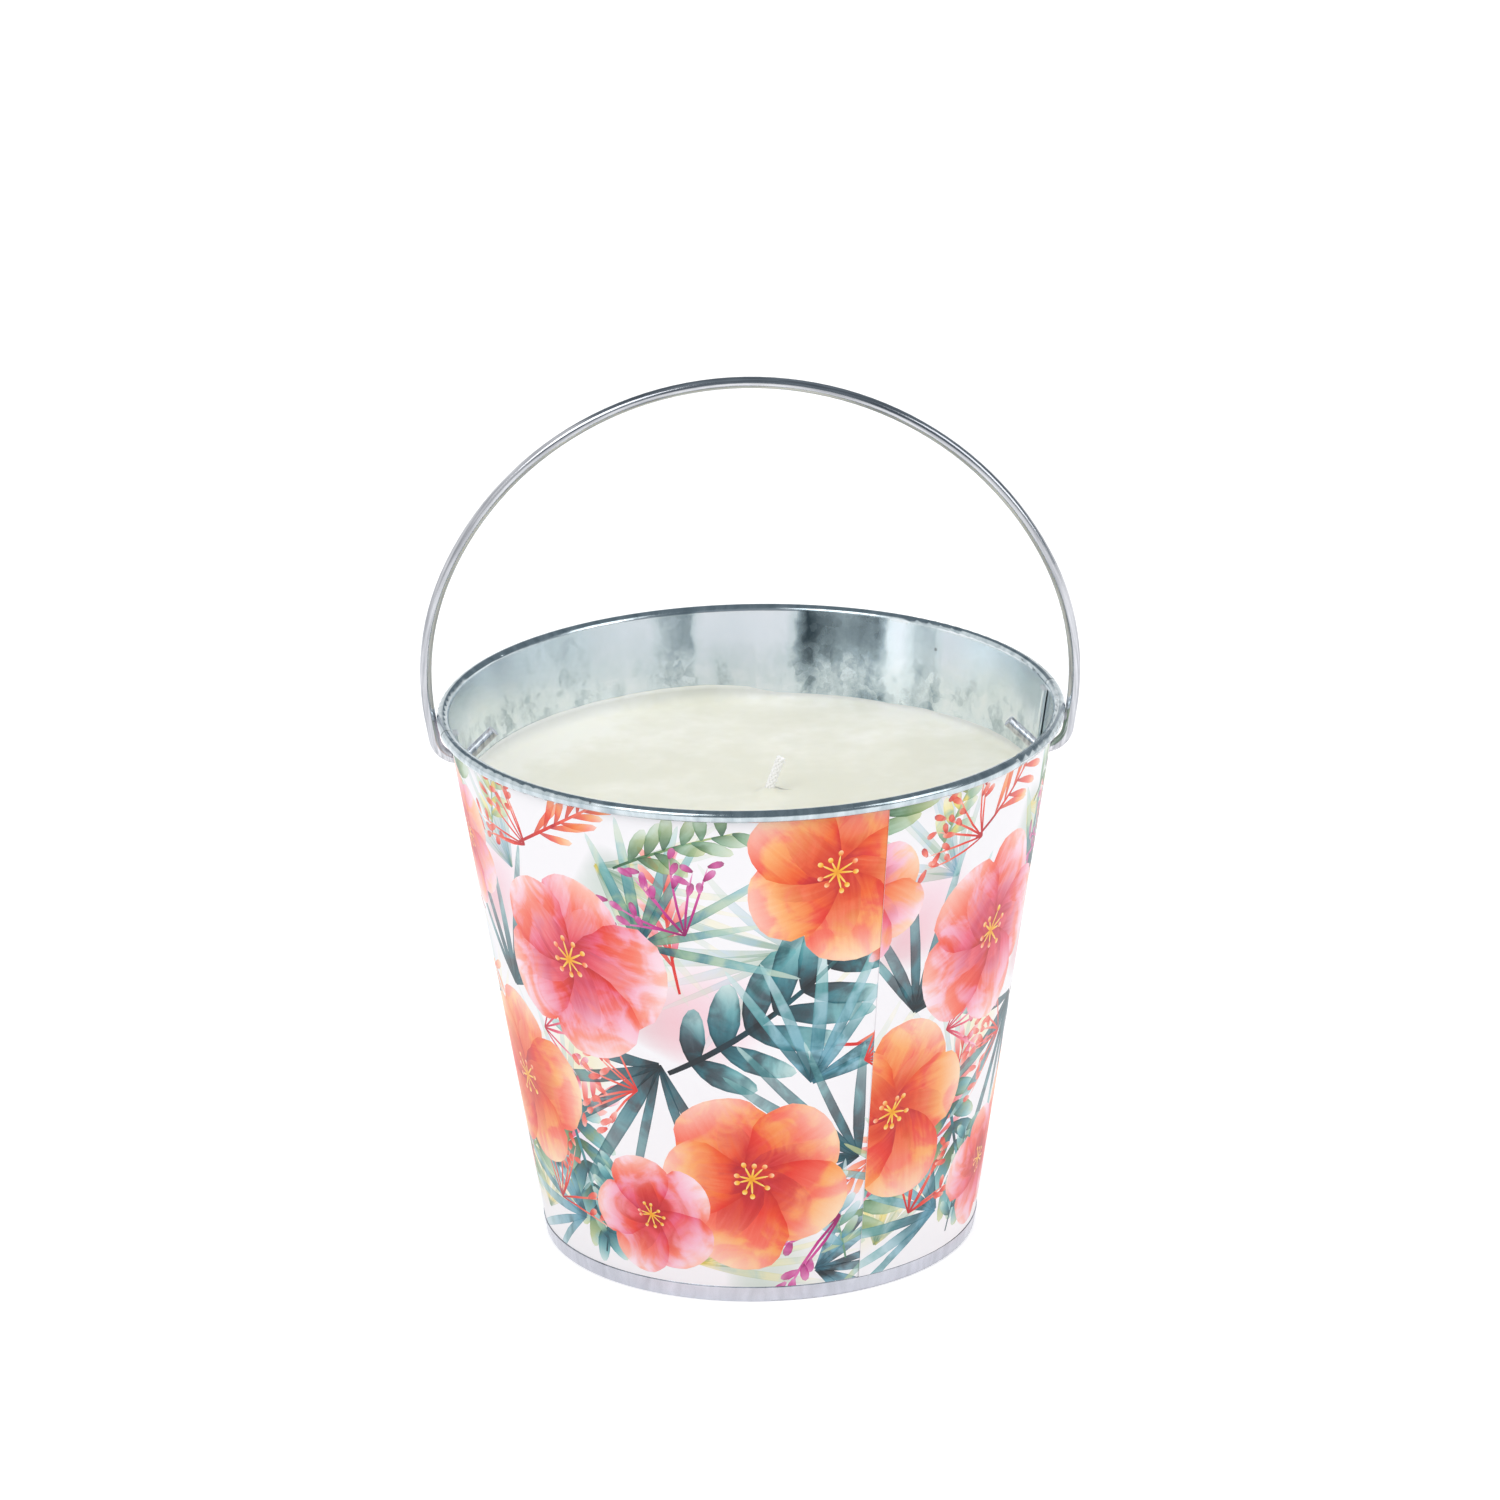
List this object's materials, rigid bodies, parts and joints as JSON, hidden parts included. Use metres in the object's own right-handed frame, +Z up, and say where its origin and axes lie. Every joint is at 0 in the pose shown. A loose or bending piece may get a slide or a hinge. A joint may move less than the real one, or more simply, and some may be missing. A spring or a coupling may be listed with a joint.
{
  "type": "citronella candle bucket",
  "caption": "Tapered round sheet-metal bucket with rolled rim, side lock seams, folding wire bail and printed film wrap, filled with wax around a short upright wick.",
  "frame": {"origin": "centre of the bucket's standing ring, on the surface that it stands on", "axes": "+Z up along the bucket's own axis; X runs through the two holes that carry the bail, so the bail folds towards -Y and +Y"},
  "size_m": [0.1574, 0.15, 0.2144],
  "materials": {
    "galvanised_sheet": "galvanised",
    "galvanised_base": "galvanised",
    "printed_film": "semi-gloss printed film",
    "candle_wax": "soft sheen wax",
    "cotton_wick": "braided cotton",
    "tinned_steel": "tinned",
    "glue_pad": "foam pad",
    "bail_wire": "zinc-plated drawn wire"
  },
  "bodies": {
    "bucket": {"front_half": "galvanised_sheet", "back_half": "galvanised_sheet", "base_pan": "galvanised_base", "printed_wrap": "printed_film", "wax_fill": "candle_wax", "wick": "cotton_wick", "wick_sustainer": "tinned_steel", "wick_pad": "glue_pad"},
    "bail": {"bail": "bail_wire"}
  },
  "joints": [
    {"name": "bail_hinge", "type": "hinge", "parent": "bucket", "child": "bail", "pos_m": [0, 0, 0.1204], "axis": [1, 0, 0], "range_deg": [-137, 137]}
  ]
}
